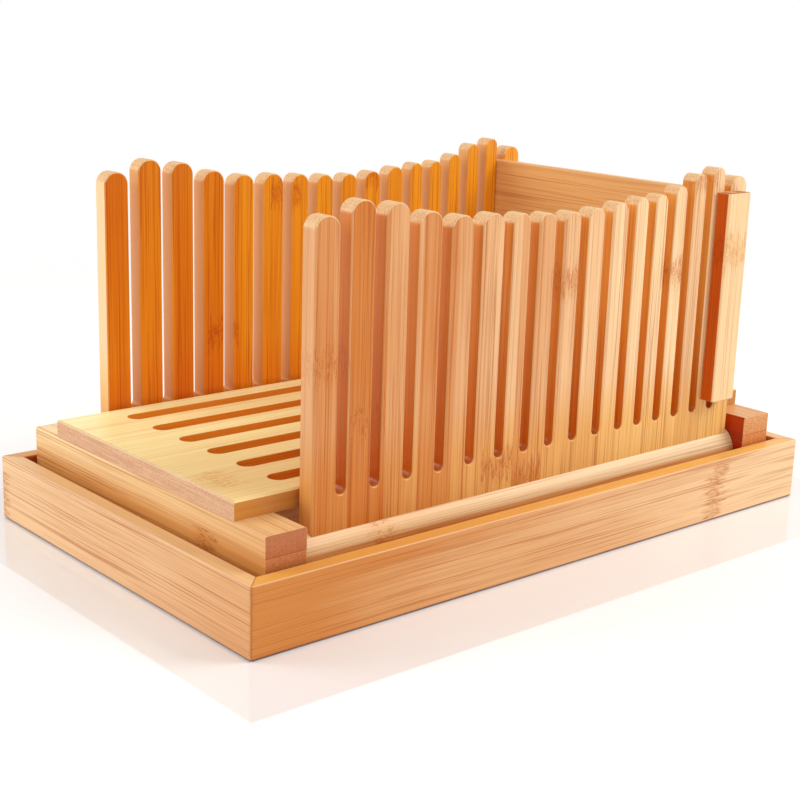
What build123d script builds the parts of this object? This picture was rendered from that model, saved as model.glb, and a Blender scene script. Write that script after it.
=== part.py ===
"""Bamboo bread slicer guide: a loaf stands on a slatted board between two comb fences.

The knife drops into one pair of fence slots at a time, in three spacings from front to rear.
A back stop stands in the rearmost pair of slots, and the whole slicer stands loose in a crumb tray.

Millimetres. X runs across the loaf, Y from the front to the rear, Z up.
The origin is on the table, under the middle of the tray.
"""
from build123d import *
import math
import os

# --- comb fences -----------------------------------------------------------------------
CHANNEL_WIDTH = 152.0          # clear width for the loaf, between the fences
FENCE_THICK = 8.6
KNIFE_SLOT = 5.5               # width of a slot in a fence
SLOT_STEPS = ((18.0, 5), (16.0, 5), (14.0, 5))   # slice spacing and how many, front to rear
FRONT_FINGER = 12.5            # width of the first finger
REAR_FINGER = 12.0             # width of the last finger
SLOT_OVERCUT = 2.5             # how far the slots run below the cutting surface
TIP_ROUNDING = 0.47            # corner radius of a finger tip, as a share of the finger's width
TOP_WAVE = (                   # place along the fence (0 to 1), height above the cutting surface
    (0.000, 112.0),
    (0.090, 118.0),
    (0.300, 108.2),
    (0.540, 105.3),
    (0.755, 109.2),
    (0.920, 120.0),
    (1.000, 114.0),
)
FENCE_EDGE = 0.5               # chamfer along a fence's outlines

# --- hinge rails under the fences --------------------------------------------------------
RAIL_RADIUS = 12.5
PIVOT_OUTSET = 0.3             # pivot axis, outside the fence's inner face
PIVOT_HEIGHT = 20.8            # pivot axis, above the foot of the crossbars
SEAT_RISE = 3.5                # foot of the fence plate, above the pivot axis
RAIL_END_GAP = 0.4             # running gap between a rail's end and a crossbar

# --- base: crossbars and slatted board ---------------------------------------------------
BAR_WIDTH = 20.3               # front to rear
BAR_HEIGHT = 39.5
BAR_OVERHANG = 9.4             # length of a crossbar outside a fence
BAR_EDGE = 1.0                 # rounding of the crossbars' edges
FENCE_FRONT_GAP = 9.2          # from the front crossbar to the fence plates
FENCE_REAR_GAP = 2.7           # from the fence plates to the rear crossbar
BOARD_THICK = 8.5
BOARD_SIDE_GAP = 3.5           # from the board's edge to the fence
BOARD_EDGE = 0.8               # chamfer round the board's top
CRUMB_SLOTS = 6
CRUMB_SLOT_WIDTH = 9.6
CRUMB_SLOT_SIDE_MARGIN = 11.2  # solid board beside the outermost slots
CRUMB_SLOT_END_MARGIN = 28.8   # solid board past the slots' ends

# --- crumb tray --------------------------------------------------------------------------
TRAY_HEIGHT = 31.0
TRAY_WALL = 8.5
TRAY_END_CLEARANCE = 5.25      # from the crossbars to the tray's end walls
TRAY_SIDE_CLEARANCE = 1.5      # from the crossbars' ends to the tray's side walls
TRAY_CORNER = 1.6              # rounding of the upright corners
TRAY_EDGE = 1.0                # rounding of the top and bottom edges
FLOOR_THICK = 3.0
FLOOR_LIFT = 3.0               # underside of the floor panel, above the table
FLOOR_GROOVE = 4.0             # depth of the groove that holds the floor panel
FLOOR_GROOVE_CLEARANCE = 0.3   # between the panel's edge and the bottom of its groove

# --- back stop ---------------------------------------------------------------------------
STOP_HEIGHT = 108.0
STOP_SLOT_CLEARANCE = 0.25     # between the back board and the sides of its slots
BATTEN_WIDTH = 17.0
BATTEN_THICK = 7.5
BATTEN_LIFT = 3.5              # foot of a batten, above the cutting surface
BATTEN_EDGE = 1.2              # rounding of a batten's outer corners
STOP_SIDE_CLEARANCE = 0.3      # between a batten and its fence
TONGUE_DEPTH = 4.0             # how far the back board runs into a batten
STOP_EDGE = 0.6                # chamfer along the back board's top

# --- pivot pins and screws ---------------------------------------------------------------
PIN_RADIUS = 2.5
PIN_IN_RAIL = 22.0             # length of a pivot pin inside the rail
PIN_IN_BAR = 12.0              # length of a pivot pin inside the crossbar
PIN_EDGE = 0.6                 # chamfer at the pins' ends
PIN_END_GAP = 0.5              # past a pin's ends, in its blind holes
BOARD_SHANK_R = 2.0
BOARD_HEAD_R = 4.0
BOARD_HEAD_THICK = 2.6
BOARD_RECESS_R = 4.6
BOARD_SCREW_GRIP = 6.0         # length of a board screw inside the board
BOARD_BAR_WEB = 22.5           # wood between a board screw's head and the board
BOARD_SCREW_INSET = 49.0       # from the crossbar's end
FENCE_SHANK_R = 1.75
FENCE_HEAD_R = 3.4
FENCE_HEAD_THICK = 2.2
FENCE_RECESS_R = 3.8
FENCE_RAIL_WEB = 12.0          # wood between a fence screw's head and the fence plate
FENCE_SCREW_GRIP = 17.0        # length of a fence screw inside the plate
FENCE_SCREWS = 3
FENCE_SCREW_INSET = 32.0       # from the ends of the fence plate
SHANK_CLEARANCE = 0.05         # all round a pin or a screw's shank, in its hole

# --- worked out --------------------------------------------------------------------------
slot_span = sum(step * count for step, count in SLOT_STEPS)
fence_length = FRONT_FINGER + KNIFE_SLOT + slot_span + REAR_FINGER
rail_space = FENCE_FRONT_GAP + fence_length + FENCE_REAR_GAP
base_length = rail_space + 2 * BAR_WIDTH
fence_inner_x = CHANNEL_WIDTH / 2
fence_outer_x = fence_inner_x + FENCE_THICK
bar_length = 2 * (fence_outer_x + BAR_OVERHANG)
bar_y = rail_space / 2 + BAR_WIDTH / 2
tray_inner_x = bar_length / 2 + TRAY_SIDE_CLEARANCE
tray_inner_y = base_length / 2 + TRAY_END_CLEARANCE
tray_x = tray_inner_x + TRAY_WALL
tray_y = tray_inner_y + TRAY_WALL
floor_top = FLOOR_LIFT + FLOOR_THICK
bar_top = floor_top + BAR_HEIGHT
cutting_surface = bar_top + BOARD_THICK
fence_front_y = -rail_space / 2 + FENCE_FRONT_GAP
fence_rear_y = fence_front_y + fence_length
pivot_x = fence_inner_x + PIVOT_OUTSET
pivot_z = floor_top + PIVOT_HEIGHT
fence_foot = pivot_z + SEAT_RISE
slot_bottom = cutting_surface - SLOT_OVERCUT
board_width = CHANNEL_WIDTH - 2 * BOARD_SIDE_GAP
batten_inner_x = fence_outer_x + STOP_SIDE_CLEARANCE
stop_thick = KNIFE_SLOT - 2 * STOP_SLOT_CLEARANCE
stop_top = cutting_surface + STOP_HEIGHT


def knife_slot_centres():
    """Y of each knife slot, front to rear."""
    centre = fence_front_y + FRONT_FINGER + KNIFE_SLOT / 2
    centres = [centre]
    for step, count in SLOT_STEPS:
        for _ in range(count):
            centre += step
            centres.append(centre)
    return centres


slot_centres = knife_slot_centres()
stop_y = slot_centres[-1]


def block(low, high):
    """A box between two corners."""
    size = [b - a for a, b in zip(low, high)]
    return Pos(*low) * Box(*size, align=(Align.MIN, Align.MIN, Align.MIN))


def mirrored(shape):
    """The same piece on the other side of the slicer."""
    return mirror(shape, about=Plane.YZ)


def upright(shape):
    """The long edges of a piece that run up it."""
    return shape.edges().filter_by(Axis.Z)


def save(name, shape):
    """Write one node, as its one solid or as a group of like solids."""
    solids = shape.solids()
    kept = solids[0] if len(solids) == 1 else Compound(children=list(solids))
    kept.label = name
    export_step(kept, f"parts/{name}.step")


# --- crumb tray --------------------------------------------------------------------------
def tray_frame():
    """The tray's four walls as one ring, before it is parted at the mitres."""
    ring = block((-tray_x, -tray_y, 0), (tray_x, tray_y, TRAY_HEIGHT))
    ring = fillet(upright(ring), TRAY_CORNER)
    rims = ring.edges().filter_by(Plane.XY)
    ring = fillet(rims, TRAY_EDGE)
    ring -= block((-tray_inner_x, -tray_inner_y, -1), (tray_inner_x, tray_inner_y, TRAY_HEIGHT + 1))
    inner_rim = [
        edge for edge in ring.edges().filter_by(Plane.XY).group_by(Axis.Z)[-1]
        if abs(edge.center().X) < tray_inner_x + TRAY_EDGE / 2
        and abs(edge.center().Y) < tray_inner_y + TRAY_EDGE / 2
    ]
    ring = fillet(inner_rim, TRAY_EDGE)
    groove_x = tray_inner_x + FLOOR_GROOVE
    groove_y = tray_inner_y + FLOOR_GROOVE
    return ring - block((-groove_x, -groove_y, FLOOR_LIFT), (groove_x, groove_y, floor_top))


def mitre_wedge(corners):
    """A prism over the plan of one wall, out to the mitre planes at its ends."""
    return extrude(make_face(Polyline(*corners, close=True)), TRAY_HEIGHT)


def tray_walls():
    """The four mitred walls by name."""
    frame = tray_frame()
    ridge = tray_y - tray_x
    side = ((tray_x, -tray_y), (tray_x, tray_y), (0, ridge), (0, -ridge))
    end = ((-tray_x, tray_y), (tray_x, tray_y), (0, ridge))
    return {
        "tray_right_wall": frame & mitre_wedge(side),
        "tray_left_wall": frame & mitre_wedge([(-x, y) for x, y in side]),
        "tray_rear_wall": frame & mitre_wedge(end),
        "tray_front_wall": frame & mitre_wedge([(x, -y) for x, y in end]),
    }


def tray_floor():
    """The thin panel held in the walls' groove."""
    reach = FLOOR_GROOVE - FLOOR_GROOVE_CLEARANCE
    x = tray_inner_x + reach
    y = tray_inner_y + reach
    return block((-x, -y, FLOOR_LIFT), (x, y, floor_top))


# --- screws ------------------------------------------------------------------------------
def screw(shank_r, shank_length, head_r, head_thick):
    """A flat-headed screw along +Z, with the underside of its head at the origin."""
    shank = Cylinder(shank_r, shank_length, align=(Align.CENTER, Align.CENTER, Align.MIN))
    return shank + Cylinder(head_r, head_thick, align=(Align.CENTER, Align.CENTER, Align.MAX))


def screw_hole(shank_r, shank_length, recess_r, recess_depth):
    """The hole for such a screw, with the recess for its head."""
    bore = Cylinder(shank_r + SHANK_CLEARANCE, shank_length, align=(Align.CENTER, Align.CENTER, Align.MIN))
    return bore + Cylinder(recess_r, recess_depth, align=(Align.CENTER, Align.CENTER, Align.MAX))


# --- base --------------------------------------------------------------------------------
board_screw_reach = BOARD_BAR_WEB + BOARD_SCREW_GRIP
board_screw_seat = bar_top - BOARD_BAR_WEB
pin_length = PIN_IN_BAR + RAIL_END_GAP + PIN_IN_RAIL


def board_screw_places():
    """Where the screws come up through the crossbars into the board."""
    x = bar_length / 2 - BOARD_SCREW_INSET
    return [Pos(sx * x, sy * bar_y, board_screw_seat) for sx in (-1, 1) for sy in (-1, 1)]


def pin_places(side):
    """The middle of each pivot pin on one side of the slicer."""
    y = rail_space / 2 + PIN_IN_BAR - pin_length / 2
    return [Pos(side * pivot_x, end * y, pivot_z) * Rot(90, 0, 0) for end in (-1, 1)]


def pin_hole():
    """The space that a pivot pin takes up with its clearances."""
    return Cylinder(PIN_RADIUS + SHANK_CLEARANCE, pin_length + 2 * PIN_END_GAP)


def crossbar(sign):
    """The front (-1) or rear (+1) crossbar, bored for the board's screws and the pivot pins."""
    low = (-bar_length / 2, sign * bar_y - BAR_WIDTH / 2, floor_top)
    bar = block(low, (-low[0], low[1] + BAR_WIDTH, bar_top))
    bar = fillet(bar.edges().filter_by(Axis.X), BAR_EDGE)
    hole = screw_hole(BOARD_SHANK_R, board_screw_reach, BOARD_RECESS_R, BAR_HEIGHT)
    for place in board_screw_places():
        bar -= place * hole
    for side in (-1, 1):
        for place in pin_places(side):
            bar -= place * pin_hole()
    return bar


def crumb_slot_places():
    """X of each crumb slot in the board."""
    first = -board_width / 2 + CRUMB_SLOT_SIDE_MARGIN + CRUMB_SLOT_WIDTH / 2
    step = -2 * first / (CRUMB_SLOTS - 1)
    return [first + step * index for index in range(CRUMB_SLOTS)]


def slatted_board():
    """The board that the loaf stands on, with round-ended crumb slots along it."""
    low = (-board_width / 2, -base_length / 2, bar_top)
    board = block(low, (-low[0], -low[1], cutting_surface))
    board = chamfer(board.edges().group_by(Axis.Z)[-1], BOARD_EDGE)
    slot_length = base_length - 2 * CRUMB_SLOT_END_MARGIN
    slot = Rot(0, 0, 90) * SlotOverall(slot_length, CRUMB_SLOT_WIDTH)
    cutter = extrude(slot, 2 * BOARD_THICK, both=True)
    for x in crumb_slot_places():
        board -= Pos(x, 0, bar_top) * cutter
    hole = screw_hole(BOARD_SHANK_R, board_screw_reach, BOARD_SHANK_R, BOARD_SHANK_R)
    for place in board_screw_places():
        board -= place * hole
    return board


# --- comb fences -------------------------------------------------------------------------
def wave_height(y):
    """Height of the fence's wavy top at a place along it, eased from one point to the next."""
    place = (y - fence_front_y) / fence_length
    for (start, low), (stop, high) in zip(TOP_WAVE, TOP_WAVE[1:]):
        if place <= stop:
            turn = math.pi * (place - start) / (stop - start)
            return cutting_surface + low + (high - low) * (1 - math.cos(turn)) / 2
    return cutting_surface + TOP_WAVE[-1][1]


def fence_fingers():
    """Front and rear edge of each finger, in Y."""
    fronts = [fence_front_y] + [centre + KNIFE_SLOT / 2 for centre in slot_centres]
    rears = [centre - KNIFE_SLOT / 2 for centre in slot_centres] + [fence_rear_y]
    return list(zip(fronts, rears))


def fence_outline():
    """The comb in its own plane: Y along the fence, Z up."""
    shoulder = slot_bottom + KNIFE_SLOT / 2
    foot = Pos((fence_front_y + fence_rear_y) / 2, (fence_foot + shoulder) / 2)
    outline = foot * Rectangle(fence_length, shoulder - fence_foot)
    for centre in slot_centres:
        outline -= Pos(centre, shoulder) * Circle(KNIFE_SLOT / 2)
    for front, rear in fence_fingers():
        width = rear - front
        top = wave_height((front + rear) / 2)
        finger = Rectangle(width, top - shoulder)
        finger = fillet(finger.vertices().group_by(Axis.Y)[-1], TIP_ROUNDING * width)
        outline += Pos((front + rear) / 2, (top + shoulder) / 2) * finger
    return outline


def fence_screw_places():
    """Where the screws come up through the right rail into its fence plate."""
    x = (fence_inner_x + fence_outer_x) / 2
    first = fence_front_y + FENCE_SCREW_INSET
    step = (fence_length - 2 * FENCE_SCREW_INSET) / (FENCE_SCREWS - 1)
    seat = fence_foot - FENCE_RAIL_WEB
    return [Pos(x, first + step * index, seat) for index in range(FENCE_SCREWS)]


def fence_plate():
    """The right comb fence."""
    plate = Pos(fence_inner_x, 0, 0) * extrude(Plane.YZ * fence_outline(), FENCE_THICK)
    outline = [
        edge for edge in plate.edges()
        if edge.bounding_box().size.X < FENCE_EDGE and edge.center().Z > fence_foot + FENCE_EDGE
    ]
    plate = chamfer(outline, FENCE_EDGE)
    hole = screw_hole(FENCE_SHANK_R, FENCE_RAIL_WEB + FENCE_SCREW_GRIP, FENCE_SHANK_R, FENCE_SHANK_R)
    for place in fence_screw_places():
        plate -= place * hole
    return plate


def hinge_rail():
    """The round rail under the right fence, with the mortise for the plate."""
    length = rail_space - 2 * RAIL_END_GAP
    rail = Pos(pivot_x, 0, pivot_z) * Rot(90, 0, 0) * Cylinder(RAIL_RADIUS, length)
    low = (fence_inner_x, fence_front_y, fence_foot)
    rail -= block(low, (fence_outer_x, fence_rear_y, pivot_z + 2 * RAIL_RADIUS))
    recess = 2 * RAIL_RADIUS
    hole = screw_hole(FENCE_SHANK_R, FENCE_RAIL_WEB + FENCE_SCREW_GRIP, FENCE_RECESS_R, recess)
    for place in fence_screw_places():
        rail -= place * hole
    for place in pin_places(1):
        rail -= place * pin_hole()
    return rail


def fence_screws():
    """The screws that hold the right fence plate on its rail."""
    one = screw(FENCE_SHANK_R, FENCE_RAIL_WEB + FENCE_SCREW_GRIP, FENCE_HEAD_R, FENCE_HEAD_THICK)
    return Compound(children=[place * one for place in fence_screw_places()])


def pivot_pins():
    """The two pins that the right rail turns on, fast in the rail."""
    one = Cylinder(PIN_RADIUS, pin_length)
    one = chamfer(one.edges(), PIN_EDGE)
    return Compound(children=[place * one for place in pin_places(1)])


# --- back stop ---------------------------------------------------------------------------
def back_board():
    """The upright board: its foot stands between the fences, the rest runs through into the battens."""
    front = stop_y - stop_thick / 2
    rear = stop_y + stop_thick / 2
    foot_x = fence_inner_x - STOP_SIDE_CLEARANCE
    tongue_x = batten_inner_x + TONGUE_DEPTH
    board = block((-foot_x, front, cutting_surface), (foot_x, rear, stop_top))
    board += block((-tongue_x, front, cutting_surface + BATTEN_LIFT), (tongue_x, rear, stop_top))
    return chamfer(board.edges().filter_by(Axis.X).group_by(Axis.Z)[-1], STOP_EDGE)


def batten():
    """The right batten, outside the fence, grooved for the back board's tongue."""
    front = stop_y - BATTEN_WIDTH / 2
    rear = stop_y + BATTEN_WIDTH / 2
    foot = cutting_surface + BATTEN_LIFT
    piece = block((batten_inner_x, front, foot), (batten_inner_x + BATTEN_THICK, rear, stop_top))
    piece = fillet(upright(piece).group_by(Axis.X)[-1], BATTEN_EDGE)
    low = (batten_inner_x - 1, stop_y - stop_thick / 2, foot - 1)
    return piece - block(low, (batten_inner_x + TONGUE_DEPTH, stop_y + stop_thick / 2, stop_top + 1))


# --- write the nodes -----------------------------------------------------------------------
os.makedirs("parts", exist_ok=True)

for wall_name, wall in tray_walls().items():
    save(wall_name, wall)
save("tray_floor", tray_floor())

save("front_crossbar", crossbar(-1))
save("rear_crossbar", crossbar(1))
save("slatted_board", slatted_board())
board_screw = screw(BOARD_SHANK_R, board_screw_reach, BOARD_HEAD_R, BOARD_HEAD_THICK)
save("board_screws", Compound(children=[place * board_screw for place in board_screw_places()]))

paired = {
    "fence": fence_plate(),
    "hinge_rail": hinge_rail(),
    "fence_screws": fence_screws(),
    "pivot_pins": pivot_pins(),
    "batten": batten(),
}
for piece_name, right_piece in paired.items():
    save(f"right_{piece_name}", right_piece)
    save(f"left_{piece_name}", mirrored(right_piece))
save("back_board", back_board())
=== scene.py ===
"""Bamboo bread slicer guide: oiled laminated bamboo, zinc-plated screws, a plain studio and its camera."""

import math

import bpy
from bpy.props import FloatProperty, FloatVectorProperty, PointerProperty
from mathutils import Matrix, Vector


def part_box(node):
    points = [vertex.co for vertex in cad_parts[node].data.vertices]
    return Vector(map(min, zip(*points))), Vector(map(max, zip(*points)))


bl_info = {
    "name": "Bread slicer guide",
    "version": (1, 0, 0),
    "blender": (4, 5, 0),
    "location": "3D View > Sidebar > Slicer",
    "description": "Bamboo finishes, screws, studio and camera for the bread slicer guide",
    "category": "Object",
}

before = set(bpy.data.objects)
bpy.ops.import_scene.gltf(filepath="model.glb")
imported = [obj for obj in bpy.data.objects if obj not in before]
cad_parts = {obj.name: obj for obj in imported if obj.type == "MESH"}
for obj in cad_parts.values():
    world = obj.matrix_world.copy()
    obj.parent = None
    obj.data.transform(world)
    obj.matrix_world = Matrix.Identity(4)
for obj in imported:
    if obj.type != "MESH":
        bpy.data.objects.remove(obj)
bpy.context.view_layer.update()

# lengths and heights are in metres; these ones are read from the parts in model.glb
TRAY_BOX = [
    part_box(wall) for wall in ("tray_front_wall", "tray_rear_wall", "tray_left_wall", "tray_right_wall")
]
TRAY_HALF_WIDTH = max(high.x for low, high in TRAY_BOX)
TRAY_HALF_LENGTH = max(high.y for low, high in TRAY_BOX)
BAR_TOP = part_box("front_crossbar")[1].z
BOARD_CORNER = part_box("slatted_board")[1]
FENCE_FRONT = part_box("left_fence")[0].y
FENCE_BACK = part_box("left_fence")[1].y

# which axis runs along a piece's grain, which across its strips and which through its layers
X, Y, Z = range(3)
GRAIN_X_UPRIGHT = (X, Z, Y)
GRAIN_Y = (Y, X, Z)
GRAIN_Y_UPRIGHT = (Y, Z, X)
GRAIN_Z = (Z, Y, X)

# strip widths of single pieces, and how far the crossbars' joint lies below their top
TRAY_STRIP = 0.0235
BAR_STRIP = 0.018
BAR_JOINT = 0.0095
BOARD_STRIP = 0.0226

# heights between which the painted shade over a piece's foot fades out
TRAY_FOOT = (0.0003, 0.0013)
BAR_FOOT = (0.029, 0.043)
RAIL_FOOT = (0.0285, 0.031)
FENCE_FOOT = (0.052, 0.085)

# heights from which and to which painted shade darkens the fences' slots, and heights that part all their
# slots' feet from all their finger tips
WELL_HEIGHTS = (0.14, 0.06)
TIP_HEIGHTS = (0.12, 0.125)

# how far inside a piece's outline the walls of its slots count as such
SLOT_MARGIN = (0.002, 0.004)

# how far the strips' edges wander, and distances over which a joint's line grows from faint to full
WANDER = 0.0012
STRIP_GLUE = (0.00024, 0.00005)
LAYER_GLUE = (0.0003, 0.00006)
MITRE = (0.0006, 0.0001)

# width of the broad streaks, and of the middle ones in fibres
BROAD_STREAK = 0.0045
MIDDLE_STREAK = 2.6

# how far a node's ragged edge reaches and where its band is full, in node bands
NODE_TONGUE = 3.0
NODE_CORE = 0.25

# how many marks of each kind there are to the metre, along the grain and across it
WANDER_RATE = (9.0, 20.0)
CLOUD_RATE = (12.0, 30.0)
TONGUE_RATE = (60.0, 700.0)
DASH_RATE = (230.0, 1200.0)
DOT_RATE = (520.0, 900.0)
BUNDLE_RATE = (40.0, 1350.0)
STREAK_RATE = 11.0
END_BAND_RATE_ACROSS = 45.0
END_BAND_RATE_DEPTH = 800.0

# levels of its noise between which a mark grows from nothing to full
LINE_LEVELS = (0.48, 0.62)
RARE_LINE_LEVELS = (0.62, 0.74)
BUNCH_LEVELS = (0.4, 0.62)
DASH_LEVELS = (0.5, 0.6)
DOT_LEVELS = (0.34, 0.14)
BUNDLE_LEVELS = (0.5, 0.2)
END_BAND_LEVELS = (0.35, 0.65)
END_SPREAD_LEVELS = (0.4, 0.6)

# how far each pattern moves the tone between pale, at 0, and warm, at 1
MEAN_TONE = 0.34
BROAD_TONE = 0.75
MIDDLE_TONE = 0.7
STRIP_TONE = 0.34
CLOUD_TONE = 0.5

# numbers that scatter the shares that each strip keeps to itself
STRIP_TURN = 12.9898
LAYER_TURN = 78.233
SCATTER = 437.585
TONE_DRAW = 3.1
STREAK_DRAW = 60.0

# how strongly each mark shows; lines have the first strength where streaks are sparse, the second where
# they bunch up
LINE_BUNCHING = (0.5, 1.2)
RARE_LINE_STRENGTH = 0.6
BAND_STRENGTH = 0.35
DASH_STRENGTH = 0.8
NODE_STRENGTH = 0.72
BUNDLE_STRENGTH = 0.55
END_GLUE_STRENGTH = 2.0
# the pale line along the eased edges is a painted highlight
EDGE_HIGHLIGHT_STRENGTH = 0.75
MITRE_STRENGTH = 0.8

# how deep each mark lies in the grain's relief
LINE_DEPTH = 0.7
GLUE_DEPTH = 0.8
BUNDLE_DEPTH = 0.5

# parts of a face's normal between which it comes to count as looking that way
SIDE_FACES = (0.6, 0.8)
FLAT_SIDE_FACES = (0.95, 0.995)
FRONT_FACES = (-0.6, -0.95)
TURNED_FACES = (0.6, 0.3)
ROUND_FACES = (0.05, 0.4)
END_REACH = 0.55
TIP_END_REACH = 0.08
END_EASE = 0.25

# for faces that look inwards, which take painted shade, that part times the distance from the middle, and
# for edges, which take a painted highlight, how well the eased normal matches the flat one
INWARD_FACES = (-0.01, -0.03)
EASED_EDGE = (0.995, 0.82)

# roughness of planed bamboo, and what fibres, end grain and clouds add to it
PLANED = 0.26
FIBRE_ROUGHNESS = 0.16
END_ROUGHNESS = 0.18
CLOUD_ROUGHNESS = 0.1

# screws: radius of their eased edges, depth of the scratches, stains and scratches to the metre, and how
# bright stained steel stays
SCREW_EDGE = 0.0002
SCREW_RELIEF = 0.00003
STAIN_RATE = (900.0, 900.0, 900.0)
SCRATCH_RATE = (9000.0, 1500.0, 9000.0)
DULLED = 0.62

# floor: a disc a hair under the tray, which turns plain white between these distances from the middle
FLOOR_RADIUS = 6.0
FLOOR_STEPS = 64
FLOOR_HEIGHT = -0.0002
WHITE_FROM = (0.3, 0.9)
WHITE = (1.0, 1.0, 1.0)

# the glossy sheet on the floor: how far it reaches beyond the tray's sides and ends, how soft its edge is,
# how far in its mirror is weakest and how much darker it is than the floor
SHEET_SIDE = 0.0416
SHEET_END = 0.0292
SHEET_EDGE = (0.0005, -0.0015)
SHEET_MIDDLE = -0.06
SHEET_TONE = 0.95

# each lamp's width, its place and the point that it looks at
KEY_LAMP = (0.9, (0.7, 0.85, 1.0), (0.0, 0.05, 0.06))
FILL_LAMP = (0.9, (-0.85, -1.0, 0.6), (0.0, 0.0, 0.06))
FRONT_LAMP = (1.0, (0.9, -0.95, 0.75), (0.0, 0.0, 0.06))

# the camera's sensor in millimetres, and the distances between which it sees
SENSOR = 36.0
NEAREST = 0.01
FARTHEST = 50.0


def shade(red, green, blue):
    """A screen colour (0 to 255), turned by the sRGB curve into the shaders' linear values."""
    values = []
    for value in (red, green, blue):
        share = value / 255
        values.append(share / 12.92 if share <= 0.04045 else ((share + 0.055) / 1.055) ** 2.4)
    return tuple(values)


def colour(name, description, red, green, blue):
    """A colour that a user can change, with its default as it looks on a screen."""
    return FloatVectorProperty(
        name=name, description=description, subtype="COLOR", size=3, min=0, max=1,
        default=shade(red, green, blue),
    )


def length(name, description, default):
    """A length in metres that a user can change."""
    return FloatProperty(
        name=name, description=description, default=default, min=0, precision=5, unit="LENGTH"
    )


def amount(name, description, default, high=1.0, unit="NONE"):
    """A share, a strength or a power that a user can change."""
    return FloatProperty(name=name, description=description, default=default, min=0, max=high, unit=unit)


# --- what a user can change ---------------------------------------------------------------
class SlicerGrain(bpy.types.PropertyGroup):
    """Sizes of the marks in the bamboo."""

    fibre: length("Fibre", "Width of one fibre line", 0.0008)
    strip: length("Strip", "Width of one glued strip", 0.019)
    node_spacing: length("Node spacing", "Distance between the nodes of one strip", 0.3)
    node_band: length("Node band", "Half the height of the flecked band at a node", 0.0095)
    # the pale line along the eased edges is a painted highlight
    edge: length("Eased edge", "Radius over which the sharp edges are eased and rubbed pale", 0.00045)
    relief: length("Relief", "Depth of the grain's relief", 0.00006)
    # painted light: the wood is painted warmer to the right and paler towards the back
    bleach_right: amount("Painted Light to the right", "Warmer colour for each metre to the right", 1.4, 20)
    bleach_back: amount("Painted Light to the back", "Paler colour for each metre towards the back stop", 3.6, 20)


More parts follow.
